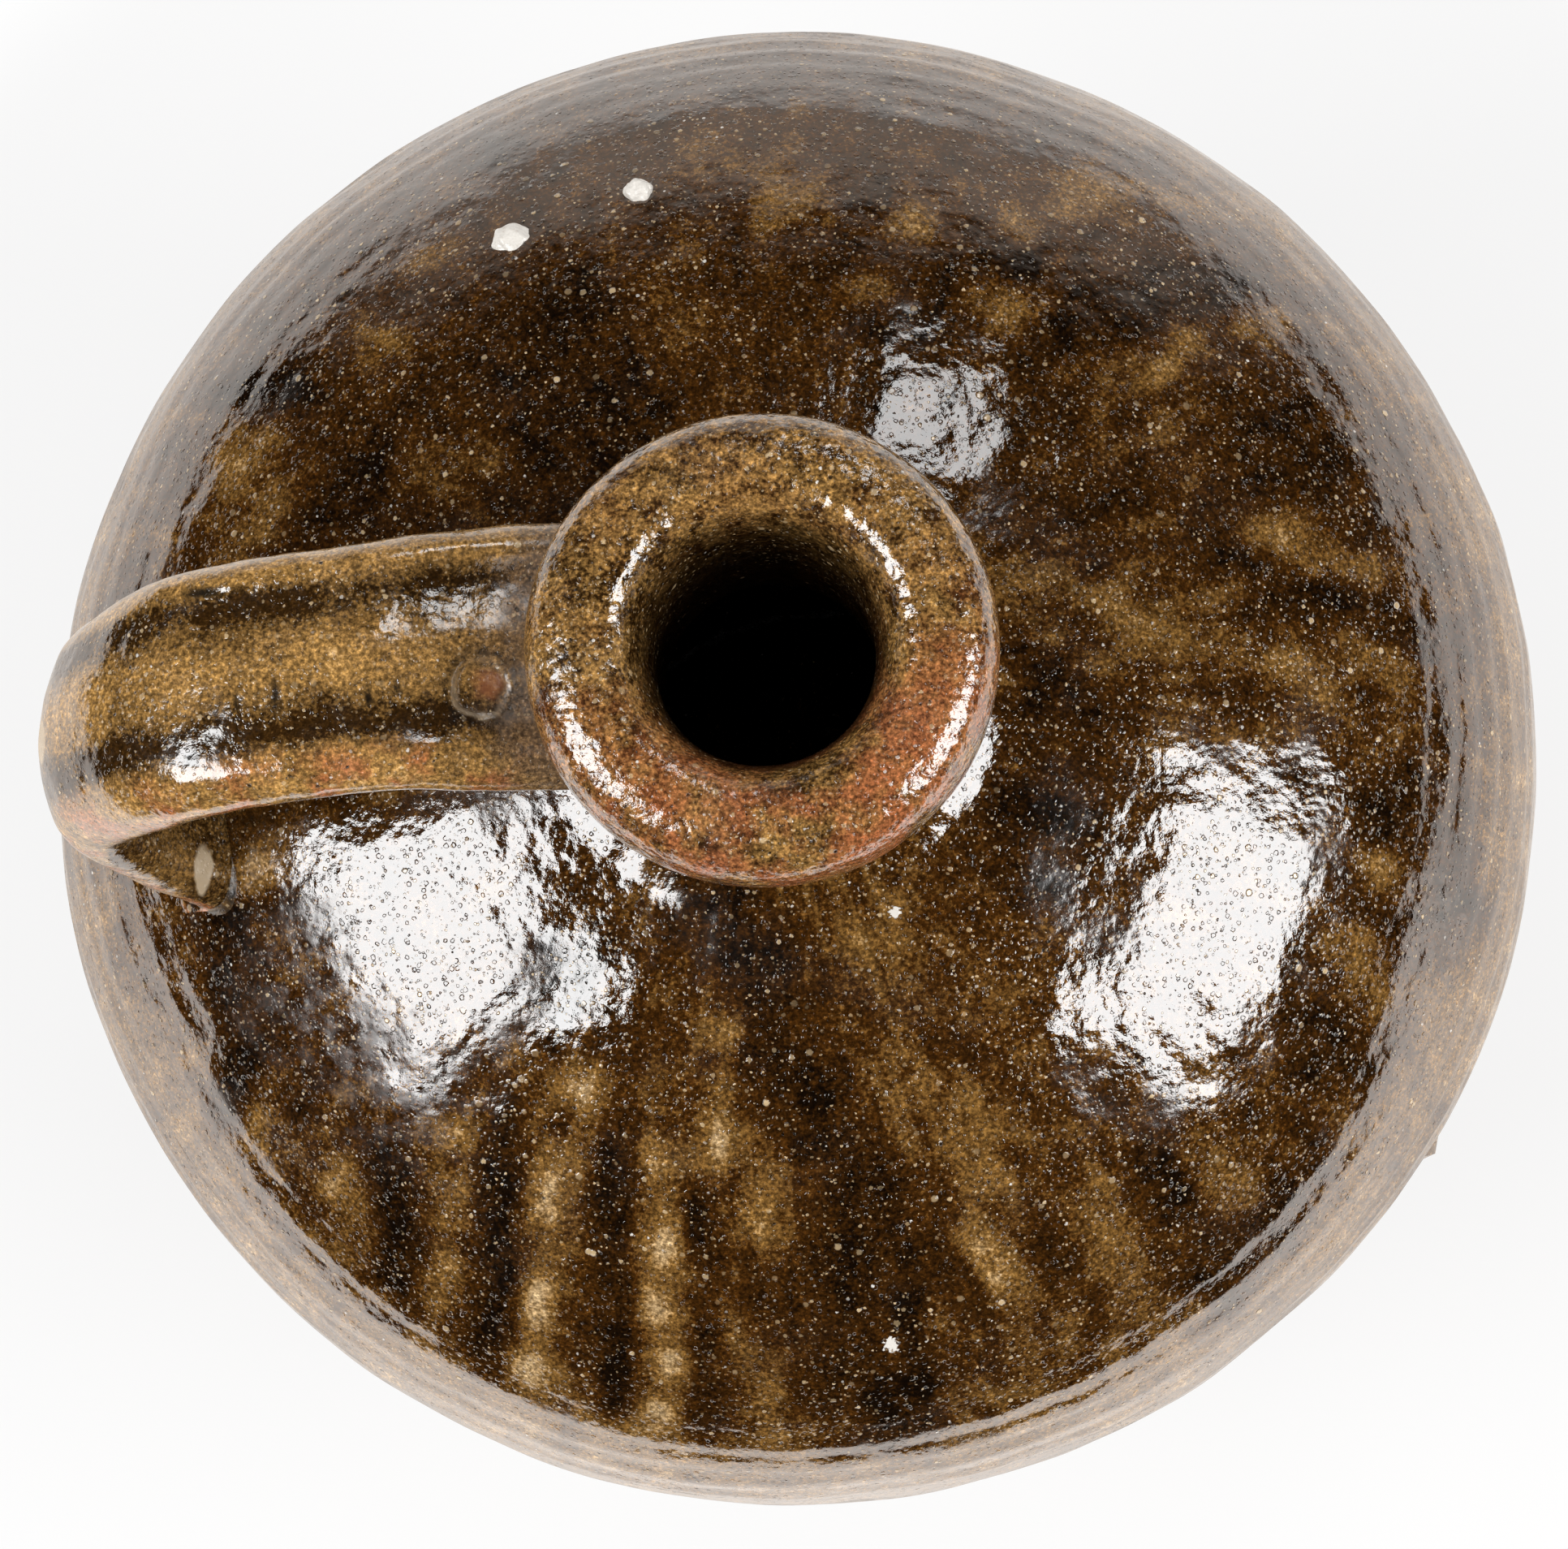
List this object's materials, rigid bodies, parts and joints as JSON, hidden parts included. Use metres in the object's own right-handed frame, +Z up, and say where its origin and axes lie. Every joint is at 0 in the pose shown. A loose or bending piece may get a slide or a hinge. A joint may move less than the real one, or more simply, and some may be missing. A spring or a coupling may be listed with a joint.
{
  "type": "stoneware jug",
  "caption": "Wheel-thrown stoneware jug with a round belly, narrow neck, rolled lip and a grooved strap handle from neck to shoulder, under a streaky brown glaze.",
  "frame": {"origin": "centre of the foot's underside, on the jug's turning axis", "axes": "+Z up along the turning axis, the handle towards -X"},
  "size_m": [0.2004, 0.2004, 0.2609],
  "materials": {
    "clay": "bare fired stoneware, matt and gritty",
    "slip": "fired slip, dull",
    "glaze": "glossy streaked brown glaze with pits and specks",
    "handle_glaze": "thin glossy olive-brown glaze over gritty clay",
    "quartz": "white quartz, glassy"
  },
  "bodies": {
    "root": {"thrown_body": "clay", "strap_handle": "clay", "upper_luting": "slip", "lower_luting": "slip", "outer_glaze": "glaze", "liner_glaze": "glaze", "handle_glaze": "handle_glaze", "quartz_grain_large": "quartz", "quartz_grain_small": "quartz"}
  },
  "joints": []
}
